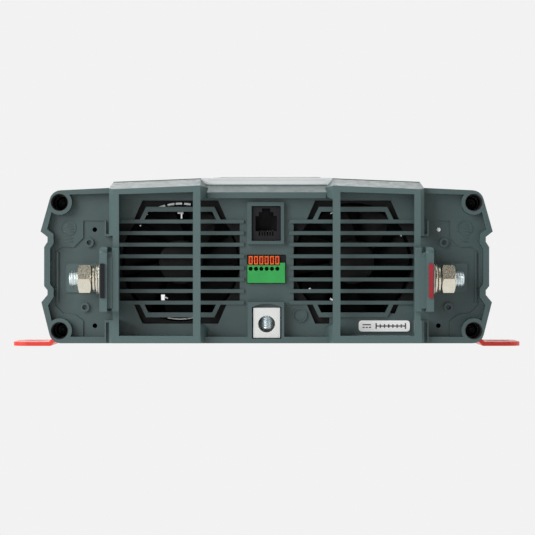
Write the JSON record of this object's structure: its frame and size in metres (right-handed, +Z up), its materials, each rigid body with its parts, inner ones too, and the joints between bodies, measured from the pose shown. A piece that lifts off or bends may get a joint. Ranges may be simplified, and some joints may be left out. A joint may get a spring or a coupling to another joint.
{
  "type": "power inverter",
  "caption": "Flat DC-to-AC power inverter with moulded end caps, hooded fan vents, stud terminals, remote jack, ground lug and duplex receptacle.",
  "frame": {"origin": "middle of the footprint, on the surface the feet stand on", "axes": "+Z up, -Y towards the DC end with the stud terminals, +Y towards the AC end with the receptacle, +X to the positive terminal's side"},
  "size_m": [0.2532, 0.332, 0.0826],
  "materials": {
    "slate_plastic": "satin, fine moulded grain",
    "chassis_paint": "fine powder coat",
    "cover_paint": "satin powder coat",
    "overlay_film": "satin printed film",
    "foot_paint": "satin powder coat",
    "black_screw": "black oxide",
    "black_plastic": "satin",
    "red_plastic": "satin",
    "tinned_metal": "bright nickel plate",
    "zinc_steel": "clear zinc plate",
    "green_plastic": "moulded, slightly glossy",
    "orange_plastic": "moulded, slightly glossy",
    "label_white": "printed vinyl",
    "heatsink_aluminium": "extruded, plain",
    "board_green": "solder mask",
    "ferrite": "ground ferrite",
    "copper_winding": "enamelled winding under tape",
    "ivory_plastic": "moulded, glossy"
  },
  "bodies": {
    "housing": {"front_end_cap": "slate_plastic", "rear_end_cap": "slate_plastic", "base_chassis": "chassis_paint", "top_cover": "cover_paint", "top_overlay": "overlay_film", "mounting_foot_front_left": "foot_paint", "mounting_foot_front_right": "foot_paint", "mounting_foot_rear_left": "foot_paint", "mounting_foot_rear_right": "foot_paint", "front_cap_screw_1": "black_screw", "front_cap_screw_2": "black_screw", "front_cap_screw_3": "black_screw", "front_cap_screw_4": "black_screw", "rear_cap_screw_1": "black_screw", "rear_cap_screw_2": "black_screw", "rear_cap_screw_3": "black_screw", "rear_cap_screw_4": "black_screw", "terminal_insulator_negative": "slate_plastic", "terminal_insulator_positive": "slate_plastic", "polarity_insert_negative": "black_plastic", "polarity_insert_positive": "red_plastic", "busbar_negative": "tinned_metal", "busbar_positive": "tinned_metal", "terminal_stud_negative": "zinc_steel", "terminal_stud_positive": "zinc_steel", "flat_washer_negative": "zinc_steel", "flat_washer_positive": "zinc_steel", "spring_washer_negative": "zinc_steel", "spring_washer_positive": "zinc_steel", "terminal_nut_negative": "zinc_steel", "terminal_nut_positive": "zinc_steel", "remote_jack": "black_plastic", "signal_terminal_block": "green_plastic", "ground_lug": "tinned_metal", "ground_lug_screw": "zinc_steel", "rating_label": "label_white", "fan_frame_left": "black_plastic", "fan_frame_right": "black_plastic", "heatsink_left": "heatsink_aluminium", "heatsink_right": "heatsink_aluminium", "main_circuit_board": "board_green", "transformer_core": "ferrite", "transformer_winding": "copper_winding", "bus_capacitor_1": "black_plastic", "bus_capacitor_2": "black_plastic", "duplex_receptacle": "ivory_plastic", "power_switch_housing": "black_plastic", "breaker_bezel": "black_plastic"},
    "left_fan": {"fan_rotor_left": "black_plastic"},
    "right_fan": {"fan_rotor_right": "black_plastic"},
    "release_1": {"wire_release_1": "orange_plastic"},
    "release_2": {"wire_release_2": "orange_plastic"},
    "release_3": {"wire_release_3": "orange_plastic"},
    "release_4": {"wire_release_4": "orange_plastic"},
    "release_5": {"wire_release_5": "orange_plastic"},
    "release_6": {"wire_release_6": "orange_plastic"},
    "test_button": {"receptacle_test_button": "black_plastic"},
    "reset_button": {"receptacle_reset_button": "red_plastic"},
    "switch_rocker": {"power_rocker": "black_plastic"},
    "breaker": {"breaker_button": "black_plastic"}
  },
  "joints": [
    {"name": "left_fan_spin", "type": "hinge", "parent": "housing", "child": "left_fan", "pos_m": [-0.0413, -0.1318, 0.0416], "axis": [0, 1, 0], "continuous": true},
    {"name": "right_fan_spin", "type": "hinge", "parent": "housing", "child": "right_fan", "pos_m": [0.0413, -0.1318, 0.0416], "axis": [0, 1, 0], "continuous": true},
    {"name": "release_1_press", "type": "slide", "parent": "housing", "child": "release_1", "axis": [0, 1, 0], "range_m": [0, 0.0015], "stiffness_N_per_m": 600},
    {"name": "release_2_press", "type": "slide", "parent": "housing", "child": "release_2", "axis": [0, 1, 0], "range_m": [0, 0.0015], "stiffness_N_per_m": 600},
    {"name": "release_3_press", "type": "slide", "parent": "housing", "child": "release_3", "axis": [0, 1, 0], "range_m": [0, 0.0015], "stiffness_N_per_m": 600},
    {"name": "release_4_press", "type": "slide", "parent": "housing", "child": "release_4", "axis": [0, 1, 0], "range_m": [0, 0.0015], "stiffness_N_per_m": 600},
    {"name": "release_5_press", "type": "slide", "parent": "housing", "child": "release_5", "axis": [0, 1, 0], "range_m": [0, 0.0015], "stiffness_N_per_m": 600},
    {"name": "release_6_press", "type": "slide", "parent": "housing", "child": "release_6", "axis": [0, 1, 0], "range_m": [0, 0.0015], "stiffness_N_per_m": 600},
    {"name": "test_button_press", "type": "slide", "parent": "housing", "child": "test_button", "axis": [0, -1, 0], "range_m": [0, 0.0012], "stiffness_N_per_m": 800},
    {"name": "reset_button_press", "type": "slide", "parent": "housing", "child": "reset_button", "axis": [0, -1, 0], "range_m": [0, 0.0012], "stiffness_N_per_m": 800},
    {"name": "power_rocker_tilt", "type": "hinge", "parent": "housing", "child": "switch_rocker", "pos_m": [-0.028, 0.1567, 0.0496], "axis": [1, 0, 0], "range_deg": [0, 16]},
    {"name": "breaker_button_press", "type": "slide", "parent": "housing", "child": "breaker", "axis": [0, -1, 0], "range_m": [0, 0.0016], "stiffness_N_per_m": 900}
  ]
}
